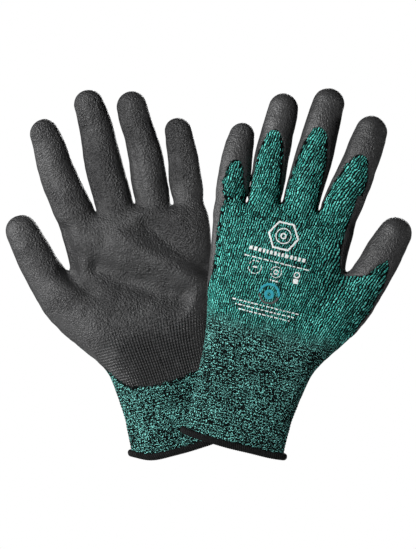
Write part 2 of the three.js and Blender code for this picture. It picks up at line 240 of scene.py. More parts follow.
def chain_field(x, y, z, stations):
    """A run of round cones through stations of [x, y, z, half width, flatness]."""
    best = None
    for a, b in zip(stations[:-1], stations[1:]):
        axis = b[:3] - a[:3]
        h = np.clip(((x - a[0]) * axis[0] + (y - a[1]) * axis[1] + (z - a[2]) * axis[2]) / (axis @ axis), 0, 1)
        flat = a[4] + h * (b[4] - a[4])
        d = np.sqrt(
            (x - a[0] - h * axis[0]) ** 2
            + ((y - a[1] - h * axis[1]) / flat) ** 2
            + (z - a[2] - h * axis[2]) ** 2
        ) - (a[3] + h * (b[3] - a[3]))
        best = d if best is None else np.minimum(best, d)
    return best


def finger_stations(finger):
    """Round cones up a finger's centre line."""
    turn = math.radians(finger["angle"])
    (root_x, root_z), sway = finger["root"], finger["sway"]
    rows = []
    for s in np.linspace(finger["start"][0], finger["end"], CHAIN_STATIONS):
        through = CURL * (max(s, 0) / finger["reach"]) ** 2
        across = float(sway(s))
        x = root_x + s * math.sin(turn) + across * math.cos(turn)
        z = root_z + s * math.cos(turn) - across * math.sin(turn)
        rows.append([x, through, z, float(finger["half"](s)), FINGER_FLATNESS])
    rows[0][3] = finger["start"][1]
    return np.array(rows)


def skin_field(shape, x, y, z):
    palm = palm_field(shape, x, y, z)
    whole = palm
    for finger in shape.fingers.values():
        chain = chain_field(x, y, z, finger_stations(finger))
        whole = np.minimum(whole, smooth_min(palm, chain, FINGER_FILLET))
    return smooth_min(whole, chain_field(x, y, z, shape.thumb), THUMB_FILLET)


# ---------------------------------------------------------------- growing the skin
def surface_net(field, axes):
    """The zero surface of a field on a grid, as vertices and quads facing out."""
    shape = np.array(field.shape) - 1
    count = np.zeros(shape, np.int8)
    total = np.zeros((3, *shape), np.float32)
    for axis in range(3):
        others = [a for a in range(3) if a != axis]
        for corner in ((0, 0), (0, 1), (1, 0), (1, 1)):
            offset = [0, 0, 0]
            offset[others[0]], offset[others[1]] = corner
            low = tuple(slice(o, o + n) for o, n in zip(offset, shape))
            high = tuple(slice(o + (a == axis), o + (a == axis) + n) for a, (o, n) in enumerate(zip(offset, shape)))
            a, b = field[low], field[high]
            crosses = (a < 0) != (b < 0)
            count += crosses
            total[axis] += np.where(crosses, a / np.where(crosses, a - b, 1), 0)
            for other, o in zip(others, corner):
                total[other] += crosses * np.float32(o)
    active = count > 0
    index = np.full(shape, -1, np.int32)
    index[active] = np.arange(active.sum())
    place = np.argwhere(active) + (total[:, active] / count[active]).T
    vertices = np.stack([np.interp(place[:, i], np.arange(len(axes[i])), axes[i]) for i in range(3)], axis=1)
    quads = []
    for axis in range(3):
        others = [a for a in range(3) if a != axis]
        first = [slice(1, -1)] * 3
        first[axis] = slice(0, -1)
        second = list(first)
        second[axis] = slice(1, None)
        inside, beyond = field[tuple(first)] < 0, field[tuple(second)] < 0
        for leaving, crossing in ((True, inside & ~beyond), (False, ~inside & beyond)):
            at = np.argwhere(crossing)
            at[:, others] += 1
            ring = []
            for da, db in ((1, 1), (0, 1), (0, 0), (1, 0)):
                cell = at.copy()
                cell[:, others[0]] -= da
                cell[:, others[1]] -= db
                ring.append(index[tuple(cell.T)])
            ring = np.array(ring).T
            quads.append(ring if leaving != (axis == 1) else ring[:, ::-1])
    return vertices, np.concatenate(quads)


def smooth_vertices(vertices, quads, rounds=3, strength=0.5):
    """Evens out the vertices, and keeps the volume."""
    edges = np.concatenate([quads[:, [i, (i + 1) % 4]] for i in range(4)])
    edges = np.concatenate([edges, edges[:, ::-1]])
    number = np.bincount(edges[:, 0], minlength=len(vertices))[:, None]
    for step in [strength, -strength * 1.04] * rounds:
        mean = np.stack(
            [np.bincount(edges[:, 0], vertices[edges[:, 1], i], len(vertices)) for i in range(3)], axis=1
        )
        vertices = vertices + step * (mean / number - vertices)
    return vertices


def split_quads(vertices, quads):
    """Two triangles from each quad, along its shorter diagonal."""
    corner = [vertices[quads[:, i]] for i in range(4)]
    short = np.linalg.norm(corner[0] - corner[2], axis=1) < np.linalg.norm(corner[1] - corner[3], axis=1)
    turned = np.where(short[:, None], quads, np.roll(quads, 1, axis=1))
    return np.concatenate([turned[:, [0, 1, 2]], turned[:, [0, 2, 3]]])


def vertex_normals(vertices, tris):
    a, b, c = (vertices[tris[:, i]] for i in range(3))
    face = np.cross(b - a, c - a)
    total = np.zeros_like(vertices)
    for i in range(3):
        for k in range(3):
            total[:, i] += np.bincount(tris[:, k], face[:, i], len(vertices))
    return total / np.maximum(np.linalg.norm(total, axis=1), 1e-9)[:, None]


def waves(points, size, seed, count=24):
    """Smooth noise of about -1 to 1, with features of about that size."""
    rng = np.random.default_rng(seed)
    direction = rng.normal(size=(count, 3))
    direction /= np.linalg.norm(direction, axis=1)[:, None]
    length = size * rng.uniform(0.6, 1.6, count)
    phase = rng.uniform(0, 2 * math.pi, count)
    return np.sin(points @ (direction / length[:, None] * 2 * math.pi).T + phase).sum(1) * math.sqrt(2 / count) * 0.6


# ---------------------------------------------------------------- where things are on the skin
def girth_table(power, flatness):
    """Share of the way round a cross-section, -1 to 1, from its angle: 0 is the middle of the back."""
    t = np.linspace(0, math.pi, 721)
    s, c = np.sin(t), np.cos(t)
    radius = (np.abs(s) ** power + np.abs(c) ** power) ** (-1 / power)
    x, y = radius * s, radius * c * flatness
    length = np.concatenate([[0], np.cumsum(np.hypot(np.diff(x), np.diff(y)))])
    return lambda angle: np.sign(angle) * np.interp(np.abs(angle), t, length / length[-1])


hand_girth = girth_table(HAND_SQUARENESS, 0.38)
finger_girth = girth_table(2.0, FINGER_FLATNESS)
COURSE = 1.25  # height of a stitch
FAN = {"from_x": 26, "from_z": 80, "to_z": 150, "spread": 260}  # wales of the back fan out onto the thumb
HAND_WALES, FINGER_WALES = 70, 19.5  # from the middle of the back to the middle of the palm
SPREAD_GIRTH = 2 * float(hand_girth(math.atan2(0.5, (1 - 0.5**HAND_SQUARENESS) ** (1 / HAND_SQUARENESS))))

PALM_EDGE = [
    [-44, 58], [-38, 53], [-30, 50], [-23.5, 47.9], [-13, 45.8], [-3, 45.4], [7.5, 45.1], [16, 46.5],
    [23, 48.2], [30, 55], [36, 64.5], [43, 73], [52, 84], [70, 100],
]
palm_edge = smooth_column(PALM_EDGE, 1, blur=2.0)


def finger_place(points, finger):
    """Along, across and through a finger, and its half width there."""
    angle = math.radians(finger["angle"])
    x, z = points[:, 0] - finger["root"][0], points[:, 2] - finger["root"][1]
    along = x * math.sin(angle) + z * math.cos(angle)
    across = x * math.cos(angle) - z * math.sin(angle)
    share = np.maximum(along, 0) / finger["reach"]
    return along, across - finger["sway"](along), points[:, 1] - CURL * share**2, finger["half"](along)


def thumb_place(rows, points):
    """Across and through the thumb, and its half width, from the thumb's stations."""
    best = np.full(len(points), 1e9)
    across, half, flat = np.zeros((3, len(points)))
    for a, b in zip(rows[:-1], rows[1:]):
        step = (b - a)[[0, 2]]
        length = math.hypot(*step)
        x, z = points[:, 0] - a[0], points[:, 2] - a[2]
        inside = np.clip((x * step[0] + z * step[1]) / length**2, 0, 1)
        d = np.hypot(x - inside * step[0], z - inside * step[1])
        better = d < best
        best = np.where(better, d, best)
        across = np.where(better, (x * step[1] - z * step[0]) / length, across)
        half = np.where(better, a[3] + inside * (b[3] - a[3]), half)
        flat = np.where(better, a[4] + inside * (b[4] - a[4]), flat)
    return across, points[:, 1] / np.maximum(flat, 0.1), half


def back_wale(shape, x, z):
    """Which wale of the hand runs over the back at a place."""
    left, right = shape.left(z), shape.right(z)
    share = (x - (left + right) / 2) / (right - left) * 2
    rise = (1 - abs(share) ** HAND_SQUARENESS) ** (1 / HAND_SQUARENESS)
    return HAND_WALES * float(hand_girth(math.atan2(share, rise)))


DIP_POWER = 0.36  # how the dip line widens down a finger
# How far to the palm side the dip line lies low on each edge of the hand, and to the back side higher up, each as
# [distance, from height, to height]
LITTLE_EDGE_DIP = [8, 58, 92], [7.4, 90, 118]
THUMB_EDGE_DIP = [6, 60, 80], [6, 118, 136]
# How far round the thumb the film reaches from the middle of its back, in degrees, on its two sides: at the top of
# the dip line, then wider over some millimetres, and then all the way between two distances from the top
THUMB_DIP_OUTER = {"start": 20, "widen": 44, "over": 11, "rest": 45, "low": 48, "high": 72}
THUMB_DIP_INNER = {"start": -20, "widen": 34, "over": 8, "rest": 90, "low": 15, "high": 33}


def edge_dip(z, below, above):
    return below[0] * (1 - smoothstep(*below[1:], z)) - above[0] * smoothstep(*above[1:], z)


def thumb_dip(down, start, widen, over, rest, low, high):
    return start + widen * (1 - np.exp(-np.maximum(down, 0) / over)) + rest * smoothstep(low, high, down)


def read_skin(shape, points):
    """What the skin's points need to know: stitch coordinates, and how far inside the dip line they are."""
    x, y, z = points.T
    places = [finger_place(points, f) for f in shape.fingers.values()]
    nearest = np.argmin([np.abs(p[1]) - p[3] for p in places], axis=0)
    along, across, through, half = (np.choose(nearest, [p[i] for p in places]) for i in range(4))
    pick = lambda key: np.array([f[key] for f in FINGERS.values()], float)[nearest]
    root_z = np.array([f["root"][1] for f in FINGERS.values()], float)[nearest]
    root_wale = np.array([back_wale(shape, *f["root"]) for f in shape.fingers.values()])[nearest]
    finger_angle = np.arctan2(across, -through / FINGER_FLATNESS)
    finger_weight = smoothstep(-14, 8, along)

    left, right = shape.left(z), shape.right(z)
    centre, width = (left + right) / 2, (right - left) / 2
    share = np.clip((x - centre) / width, -1, 1)
    rise = (1 - np.abs(share) ** HAND_SQUARENESS) ** (1 / HAND_SQUARENESS)
    hand_angle = np.arctan2(share, np.where(y > 0, -rise, rise))

    t_across, t_through, t_half = thumb_place(shape.thumb, points)
    thumb_angle = np.arctan2(t_across, -t_through)
    thumb_weight = smoothstep(right - 9, right + 7, x) * (z < 190)
    # where the back runs on into the thumb, the wales fan out instead of turning round the edge
    lean = (np.minimum(z, FAN["to_z"]) - FAN["from_z"]) / FAN["spread"]
    fanned = x - np.maximum(x - FAN["from_x"], 0) * lean
    fanned = SPREAD_GIRTH * (fanned - centre) / width
    onto_thumb = smoothstep(0.5, 0.85, share) * smoothstep(50, 70, z) * (1 - smoothstep(4, 10, y))
    onto_thumb = onto_thumb * np.maximum(1 - smoothstep(148, 166, z), smoothstep(right + 3, right + 8, x))
    hand = hand_girth(hand_angle)
    hand = hand + onto_thumb * (fanned - hand)

    # the dip line on the fingers
    below = pick("dip_top") - along
    spread = np.where(below > 0, pick("dip_wide") * np.maximum(below, 0) ** DIP_POWER, 6 * below)
    finger_coat = (np.abs(np.degrees(finger_angle) - pick("dip_turn")) - spread) * math.radians(1) * half * 0.9

    # on the hand
    level = np.where(x < centre, edge_dip(z, *LITTLE_EDGE_DIP), edge_dip(z, *THUMB_EDGE_DIP))
    edge = smoothstep(0.55, 0.85, np.abs(x - centre) / width)
    hand_coat = y - (edge * level - 2.5 * (1 - edge))

    # on the thumb
    down = THUMB_DIP_TOP[1] - (z + (x - THUMB_DIP_TOP[0]) * 0.33)
    degrees = np.degrees(thumb_angle)
    past = np.maximum(degrees - thumb_dip(down, **THUMB_DIP_OUTER), -degrees - thumb_dip(down, **THUMB_DIP_INNER))
    thumb_coat = past * math.radians(1) * t_half * 0.9
    thumb_coat = np.maximum(thumb_coat, -down * 0.8)

    coat = hand_coat + smoothstep(-12, 2, along) * (1 - thumb_weight) * (finger_coat - hand_coat)
    coat = coat + thumb_weight * (thumb_coat - coat)
    coat = np.minimum(coat, (z - palm_edge(x)) * 0.8)
    coat = coat + 0.45 * waves(points, 5.0, 3) + 0.4 * waves(points, 2.6, 4)
    return {
        "hand": hand,
        "finger": finger_girth(finger_angle),
        "finger_weight": finger_weight * (1 - thumb_weight * (1 - smoothstep(150, 166, z))),
        "root_wale": root_wale,
        "finger_v": root_z + along,
        "coat": coat,
    }


# Soft pads: [height, across, up, half width, half length, turn in degrees]
PALM_PADS = [
    [5.0, 33, 98, 12, 22, -20], [1.5, -28, 82, 12, 22], [1.2, 14, 154, 20, 10], [2.2, -42, 146, 8, 14],
]
BACK_PADS = [[0.5, 10, 150, 34, 20], [-0.5, 40, 118, 10, 14]]
# Ridges, and creases where the height is negative: [height, from x, from z, to x, to z, half width]
PALM_RIDGES = [
    [3.4, 8, 154, -46, 102, 5.0], [-4.4, -12, 159, -52, 114, 4.6], [-6.5, 31, 137, -30, 97, 6.5],
    [-3.4, 50, 142, 33, 118, 4.5], [-2.0, 41.5, 170, 41, 134, 3.2],
]


def shape_skin(shape, points, normals):
    """Pads, hollows, creases and small unevenness of the worn-in hand shape."""
    x, y, z = points.T
    palm = smoothstep(0.0, 0.7, normals[:, 1])
    back = smoothstep(0.0, 0.7, -normals[:, 1])

    def bump(height, cx, cz, rx, rz, turn=0.0):
        c, s = math.cos(math.radians(turn)), math.sin(math.radians(turn))
        a, b = (x - cx) * c + (z - cz) * s, -(x - cx) * s + (z - cz) * c
        return height * np.exp(-0.5 * ((a / rx) ** 2 + (b / rz) ** 2))

    def ridge(height, x0, z0, x1, z1, width):
        length = math.hypot(x1 - x0, z1 - z0)
        ux, uz = (x1 - x0) / length, (z1 - z0) / length
        a, b = (x - x0) * ux + (z - z0) * uz, -(x - x0) * uz + (z - z0) * ux
        ends = smoothstep(-5, 5, a) * smoothstep(-5, 5, length - a)
        return height * np.exp(-0.5 * (b / width) ** 2) * ends

    move = palm * shape.folds * (sum(bump(*row) for row in PALM_PADS) + sum(ridge(*row) for row in PALM_RIDGES))
    move += back * sum(bump(*row) for row in BACK_PADS)
    move += 0.35 * waves(points, 34, 11) + 0.12 * waves(points, 11, 12)
    for finger in shape.fingers.values():
        along, across, through, half = finger_place(points, finger)
        own = smoothstep(2.5, 0.0, np.abs(across) - half) * smoothstep(-6, 4, along)
        fold = np.exp(-0.5 * ((across / half - 0.5) / 0.12) ** 2)
        move -= own * palm * 0.9 * shape.folds * fold * smoothstep(finger["reach"] - 6, finger["reach"] - 20, along)
        for at in finger["joints"]:
            off = along - at
            move -= own * palm * 0.08 * np.exp(-0.5 * (off / 1.6) ** 2)
            move += own * back * 0.25 * np.exp(-0.5 * (off / 4.0) ** 2)
            move += own * back * 0.16 * np.cos(off * 2.1) * np.exp(-0.5 * (off / 4.5) ** 2)
    ribs = smoothstep(50, 38, z)
    move += ribs * (0.16 * np.cos(z * 2 * math.pi / CUFF_RIB))
    return points + normals * move[:, None]


# ---------------------------------------------------------------- cutting the skin into closed pieces
SNAP = 0.06  # a point this near a cut is on it


def clip(data, tris, values, flip=False):
    """Keeps the side where values are above zero (or below, with flip). Both sides share the cut's points."""
    values = np.where(np.abs(values) < SNAP, 0.0, values) * (-1 if flip else 1)
    sign = np.sign(values).astype(int)
    s = sign[tris]
    above, below = (s > 0).sum(1), (s < 0).sum(1)
    whole = tris[(below == 0) & ((above > 0) | (not flip))]
    parts = [whole]
    pairs = []

    def turn(rows, wanted):
        at = np.argmax(sign[rows] == wanted, axis=1)
        return np.take_along_axis(rows, (at[:, None] + np.arange(3)) % 3, axis=1)

    one = turn(tris[(above == 1) & (below == 2)], 1)
    two = turn(tris[(above == 2) & (below == 1)], -1)
    level = turn(tris[(above == 1) & (below == 1)], 0)
    for a, b in ((one[:, 0], one[:, 1]), (one[:, 0], one[:, 2]), (two[:, 0], two[:, 1]), (two[:, 0], two[:, 2]),
                 (level[:, 1], level[:, 2])):
        pairs.append(np.sort(np.stack([a, b], axis=1), axis=1))
    every = np.concatenate(pairs)
    edges, where = np.unique(every, axis=0, return_inverse=True)
    where = where.reshape(-1) + len(data)
    cuts = np.split(where, np.cumsum([len(p) for p in pairs])[:-1])
    if len(edges):
        a, b = edges.T
        share = (values[a] / (values[a] - values[b]))[:, None]
        data = np.concatenate([data, data[a] + share * (data[b] - data[a])])
    parts.append(np.stack([one[:, 0], cuts[0], cuts[1]], axis=1))
    parts.append(np.stack([cuts[2], two[:, 1], two[:, 2]], axis=1))
    parts.append(np.stack([cuts[2], two[:, 2], cuts[3]], axis=1))
    first = sign[level[:, 1]] > 0 if len(level) else np.zeros(0, bool)
    parts.append(np.stack([level[:, 0], level[:, 1], cuts[4]], axis=1)[first])
    parts.append(np.stack([level[:, 0], cuts[4], level[:, 2]], axis=1)[~first])
    tris = np.concatenate(parts)
    used, tris = np.unique(tris, return_inverse=True)
    return data[used], tris.reshape(-1, 3)


def close_shell(outer, inner, tris):
    """One closed mesh from an outer face, an inner face and the rim between them; also which tris are which."""
    n = len(outer)
    edges = np.concatenate([tris[:, [0, 1]], tris[:, [1, 2]], tris[:, [2, 0]]]).astype(np.int64)
    key, back = edges[:, 0] * n + edges[:, 1], edges[:, 1] * n + edges[:, 0]
    a, b = edges[~np.isin(key, back)].T
    rim = np.concatenate([np.stack([b, a, a + n], axis=1), np.stack([b, a + n, b + n], axis=1)])
    kinds = np.repeat([0, 1, 2], [len(tris), len(tris), len(rim)])
    return np.concatenate([outer, inner]), np.concatenate([tris, tris[:, ::-1] + n, rim]), kinds


def blender_mesh(name, points, tris, material, rest, corner_normals=None, corners=None):
    """A linked object from points in metres, with the attributes its material reads."""
    mesh = bpy.data.meshes.new(name)
    mesh.vertices.add(len(points))
    mesh.vertices.foreach_set("co", points.astype(np.float32).ravel())
    mesh.loops.add(3 * len(tris))
    mesh.loops.foreach_set("vertex_index", tris.astype(np.int32).ravel())
    mesh.polygons.add(len(tris))
    mesh.polygons.foreach_set("loop_start", np.arange(0, 3 * len(tris), 3, dtype=np.int32))
    mesh.polygons.foreach_set("use_smooth", np.ones(len(tris), bool))
    mesh.update(calc_edges=True)
    for key, domain, values in (("stitch", "CORNER", corners), ("rest", "POINT", rest)):
        if values is not None:
            layer = mesh.attributes.new(key, "FLOAT_VECTOR", domain)
            layer.data.foreach_set("vector", values.astype(np.float32).ravel())
    if corner_normals is not None:
        mesh.normals_split_custom_set(corner_normals.tolist())
    mesh.materials.append(material)
    piece = bpy.data.objects.new(name, mesh)
    bpy.context.scene.collection.objects.link(piece)
    return piece


# ---------------------------------------------------------------- the skin of one glove
GRID_LOW, GRID_HIGH = (-68.4, -21.0, -5.4), (90.0, 25.8, 262.0)
FINE_TO = 48  # height where the cuff's finer grid ends
LANE_MARGIN = 1.1  # a finger's pieces take in the skin this far past its sides
THUMB_LANE = {"x": 46.0, "z": 134, "slope": 0.2}  # the thumb's pieces lie beyond this line
SUNK, PROUD = 0.35, 0.06  # how far the knit lies under the film, and the film's edge over the knit
EDGE_WIDTH = 1.6  # the film reaches its full thickness this far from the dip line


def grow_skin(shape):
    low, high = GRID_LOW, GRID_HIGH
    axes = [
        np.arange(low[0], high[0], GRID),
        np.arange(low[1], high[1], GRID),
        np.concatenate([np.arange(low[2], FINE_TO, CUFF_GRID), np.arange(FINE_TO, high[2], GRID)]),
    ]
    field = np.asarray(skin_field(shape, *np.meshgrid(*axes, indexing="ij", sparse=True)), np.float32)
    points, quads = surface_net(field, axes)
    points = smooth_vertices(points, quads)
    tris = split_quads(points, quads)
    facts = read_skin(shape, points)
    points = shape_skin(shape, points, vertex_normals(points, tris))
    normals = vertex_normals(points, tris)

    inside = smoothstep(0, EDGE_WIDTH, facts["coat"])
    knit = points - normals * (SUNK * inside)[:, None]
    coat = points + normals * (PROUD + COATING * inside)[:, None]
    columns = {
        "rest": points,
        "normal": normals,
        "knit": knit,
        "knit_normal": vertex_normals(knit, tris),
        "coated": coat,
        "coated_normal": vertex_normals(coat, tris),
        "coating": 0.05 + (COATING + 0.05) * inside,
        "height": points[:, 2],
        "over_hem": points[:, 2] - shape.hem(points[:, 0]),
        **facts,
    }
    for name, finger in shape.fingers.items():
        along, across, through, half = finger_place(points, finger)
        columns[name] = along
        columns[name + "_lane"] = half + LANE_MARGIN - np.abs(across)
    turn = math.radians(THUMB_LEAN)
    x, z = points[:, 0] - THUMB_HINGE[0], points[:, 2] - THUMB_HINGE[1]
    columns["thumb_along"] = x * math.sin(turn) + z * math.cos(turn)
    columns["thumb_lane"] = points[:, 0] - (THUMB_LANE["x"] + (points[:, 2] - THUMB_LANE["z"]) * THUMB_LANE["slope"])
    return tabulate(columns, tris)


class Skin:
    """Points of the skin with all that is known at them, as one table that clip() can cut."""

    def __init__(self, table, columns, tris):
        self.table, self.columns, self.tris = table, columns, tris

    def __getitem__(self, key):
        at, width = self.columns[key]
        return self.table[:, at] if width == 1 else self.table[:, at : at + width]

    def cut(self, values, flip=False):
        table, tris = clip(self.table, self.tris, values, flip)
        return Skin(table, self.columns, tris)


def tabulate(values, tris):
    columns, at = {}, 0
    for key, column in values.items():
        columns[key] = (at, column.shape[1] if column.ndim == 2 else 1)
        at += columns[key][1]
    return Skin(np.column_stack(list(values.values())), columns, tris)


# ---------------------------------------------------------------- the two gloves
class Glove:
    """Where one of the gloves is: its wrist opening, its direction and the way its palm faces, from the frame."""

    def __init__(self, side, palm_y):
        mount = next(m for m in frame["record"]["mounts"] if m["name"] == side + "_wrist_opening")
        up = -np.array(mount["axis"])
        palm = np.array([0, palm_y, 0])
        self.side, self.shape = side, Shape(side)
        self.turn = np.stack([np.cross(palm, up), palm, up])
        self.origin = np.array(mount["pos_m"])

    def place(self, points):
        return np.asarray(points, float) * MM @ self.turn + self.origin

    def direct(self, normals):
        return normals @ self.turn

    def own(self, name):
        return f"{self.side}_{name}"


GLOVES = [Glove("rear", -1.0), Glove("front", 1.0)]

# Pieces of the fingers: [name, from, to, bends from, bends to], along from the knuckle hinge
FINGER_PARTS = {
    "index": [["base", -5, 12, -5, 8], ["middle", 12, 35.5, 16, 32], ["tip", 35.5, None, 39, 51]],
    "middle": [["base", -5, 14, -5, 9], ["middle", 14, 40, 19, 35], ["tip", 40, None, 45.5, 58.5]],
    "ring": [["base", -4.5, 12, -4.5, 8], ["middle", 12, 35.5, 16, 32], ["tip", 35.5, None, 39, 51]],
    "little": [["base", -8, 7, -8, 5], ["middle", 7, 23, 10.5, 21.5], ["tip", 23, None, 24.5, 34.5]],
}
THUMB_PARTS = [["base", -2, 11, -2, 9], ["tip", 11, None, 14, 30]]


def stitch_corners(part, tris):
    """Wales and courses at each corner of each triangle, without a jump where the girth meets itself."""
    def girth(key):
        share = part[key][tris]
        span = share.max(axis=1) - share.min(axis=1)
        return np.where((span > 1)[:, None] & (share < 0), share + 2, share)

    w = part["finger_weight"][tris]
    height = part["height"][tris]
    wales = HAND_WALES * girth("hand")
    finger = part["root_wale"][tris] + FINGER_WALES * girth("finger")
    wales = wales + w * (finger - wales)
    rows = height + w * (part["finger_v"][tris] - height)
    return np.stack([wales, rows / COURSE, part["coat"][tris]], axis=2).reshape(-1, 3)


def skin_piece(glove, name, part, layer, material):
    """A closed piece of knit or of coating cut from the skin, placed on its glove."""
    outer, normal = part[layer], part[layer + "_normal"]
    normal = normal / np.linalg.norm(normal, axis=1)[:, None]
    depth = WALL if layer == "knit" else part["coating"][:, None]
    points, tris, kinds = close_shell(outer, outer - normal * depth, part.tris)
    faces = points[tris]
    flat = np.cross(faces[:, 1] - faces[:, 0], faces[:, 2] - faces[:, 0])
    flat /= np.maximum(np.linalg.norm(flat, axis=1), 1e-12)[:, None]
    both = np.concatenate([normal, -normal])
    corners = np.where((kinds == 2)[:, None, None], flat[:, None, :], both[tris])
    whole = tris % len(outer)
    return blender_mesh(
        glove.own(name),
        glove.place(points),
        tris,
        material,
        np.concatenate([part["rest"], part["rest"] - part["normal"]]),
        glove.direct(corners.reshape(-1, 3)),
        stitch_corners(part, whole),
    )


def between(part, key, low, high):
    """The stretch of a part from low to high in one of its columns."""
    if low is not None:
        part = part.cut(part[key] - low)
    if high is not None:
        part = part.cut(part[key] - high, flip=True)
    return part


def lane_field(skin, name, start):
    return np.minimum(skin[name if name != "thumb" else "thumb_along"] - start, skin[name + "_lane"])


def split_skin(skin):
    """[piece, bodies, bend start, bend end, part of the skin] for all of one glove."""
    rows = []
    digits = {**FINGER_PARTS, "thumb": THUMB_PARTS}
    hand = np.max([lane_field(skin, name, parts[0][1]) for name, parts in digits.items()], axis=0)
    hand_skin = skin.cut(hand, flip=True)
    for name, parts in digits.items():
        digit = skin.cut(lane_field(skin, name, parts[0][1]))
        key = "thumb_along" if name == "thumb" else name
        before = "hand"
        for part, low, high, bend_low, bend_high in parts:
            piece = between(digit, key, low if part != "base" else None, high)
            rows.append([f"{name}_{part}", [before, f"{name}_{part}"], bend_low, bend_high, piece])
            before = f"{name}_{part}"
    rows.append(["hand", ["hand"], None, None, between(hand_skin, "height", WRIST_END, None)])
    rows.append(["wrist", ["cuff", "hand"], CUFF_END, WRIST_END, between(hand_skin, "height", CUFF_END, WRIST_END)])
    cuff = between(hand_skin, "height", None, CUFF_END)
    rows.append(["cuff", ["cuff"], None, None, between(cuff, "over_hem", CUFF_START, None)])
    return rows


def digit_line(name, along):
    """A point on a digit's straight line, in the glove's frame."""
    (x, z), angle = (THUMB_HINGE, THUMB_LEAN) if name == "thumb" else (FINGERS[name]["root"], FINGERS[name]["angle"])
    turn = math.radians(angle)
    return [x + along * math.sin(turn), 0, z + along * math.cos(turn)]


def attach(piece, glove, name, bodies, low, high):
    if len(bodies) == 1:
        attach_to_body(piece, glove.own(bodies[0]))
        return
    if name == "wrist":
        start, end = [0, 0, low], [0, 0, high]
    else:
        digit = name.split("_")[0]
        start, end = digit_line(digit, low), digit_line(digit, high)
    glove.own(bodies[0])
    glove.own(bodies[1])
    glove.place(start)
    glove.place(end)
    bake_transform(piece)


# CAD nodes that a piece of the skin stands for: [knit, coating]
STANDS_FOR = {"hand": [["hand_knit"], ["palm_coating"]], "wrist": [["wrist_knit"], []], "cuff": [["cuff_knit"], []]}
for digit in (*FINGERS, "thumb"):
    for part in ("base", "middle"):
        STANDS_FOR[f"{digit}_{part}"] = [[f"{digit}_{part}_knit"], [f"{digit}_{part}_coating"]]
    STANDS_FOR[f"{digit}_tip"] = [[], [f"{digit}_tip"]]


LEAST_TRIS = 40  # a piece with fewer triangles of film gets none


def make_skins(glove, rows, knit_material, coat_material):
    for name, bodies, low, high, part in rows:
        layers = [["knit", part, knit_material, "knit_shell", "knit"]]
        coated = part.cut(part["coat"])
        if len(coated.tris) > LEAST_TRIS:
            layers.append(["coating", coated, coat_material, "pu_coating", "coated"])
        for index, (suffix, cut, material, slot, layer) in enumerate(layers):
            piece = skin_piece(glove, f"{name}_{suffix}_skin", cut, layer, material)
            attach(piece, glove, name, bodies, low, high)
            nodes = [glove.own(node) for node in STANDS_FOR[name][index]]
            if nodes:
                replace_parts(piece, *nodes)


# ---------------------------------------------------------------- hem and elastic
OUTLINE_STEPS = 4000


def outline(shape, height, count):
    """Evenly spaced points round the cuff at a height, on the worn-in surface, and their outward normals."""
    t = np.linspace(-math.pi, math.pi, OUTLINE_STEPS + 1)[:-1]
    left, right, thick = (float(f(height)) for f in (shape.left, shape.right, shape.thickness))
    bend = lambda value: np.sign(value) * np.abs(value) ** (2 / HAND_SQUARENESS)
    x, y = (left + right) / 2 + (right - left) / 2 * bend(np.sin(t)), -thick / 2 * bend(np.cos(t))
    length = np.concatenate([[0], np.cumsum(np.hypot(np.diff(x, append=x[0]), np.diff(y, append=y[0])))])
    at = np.interp(np.arange(count) / count * length[-1], length, np.arange(len(length)))
    x, y = (np.interp(at, np.arange(len(x) + 1), np.append(v, v[0])) for v in (x, y))
    tangent = np.stack([np.roll(x, -1) - np.roll(x, 1), np.roll(y, -1) - np.roll(y, 1)], axis=1)
    tangent /= np.linalg.norm(tangent, axis=1)[:, None]
    normals = np.stack([tangent[:, 1], -tangent[:, 0], np.zeros(count)], axis=1)
    points = np.stack([x, y, np.full(count, height)], axis=1)
    return shape_skin(shape, points, normals), normals, length[-1]


def ring_mesh(glove, name, rows, material, rest):
    """A closed ring from rows of points, each a loop round the cuff; the last row joins the first."""
    loops, count = len(rows), len(rows[0])
    points = np.concatenate(rows)
    i, j = np.meshgrid(np.arange(loops), np.arange(count), indexing="ij")
    a, b = i * count + j, i * count + (j + 1) % count
    c, d = (i + 1) % loops * count + (j + 1) % count, (i + 1) % loops * count + j
    quads = np.stack([a, b, c, d], axis=-1).reshape(-1, 4)
    tris = np.concatenate([quads[:, [0, 1, 2]], quads[:, [0, 2, 3]]])
    return blender_mesh(glove.own(name), glove.place(points), tris, material, rest)


HEM = {"low": -2.3, "high": 2.5, "proud": 1.3, "inside": 2.2, "stitch": 1.45, "thread": 0.3, "corner": 1.1}
HEM_RINGS, HEM_POINTS = 26, 760


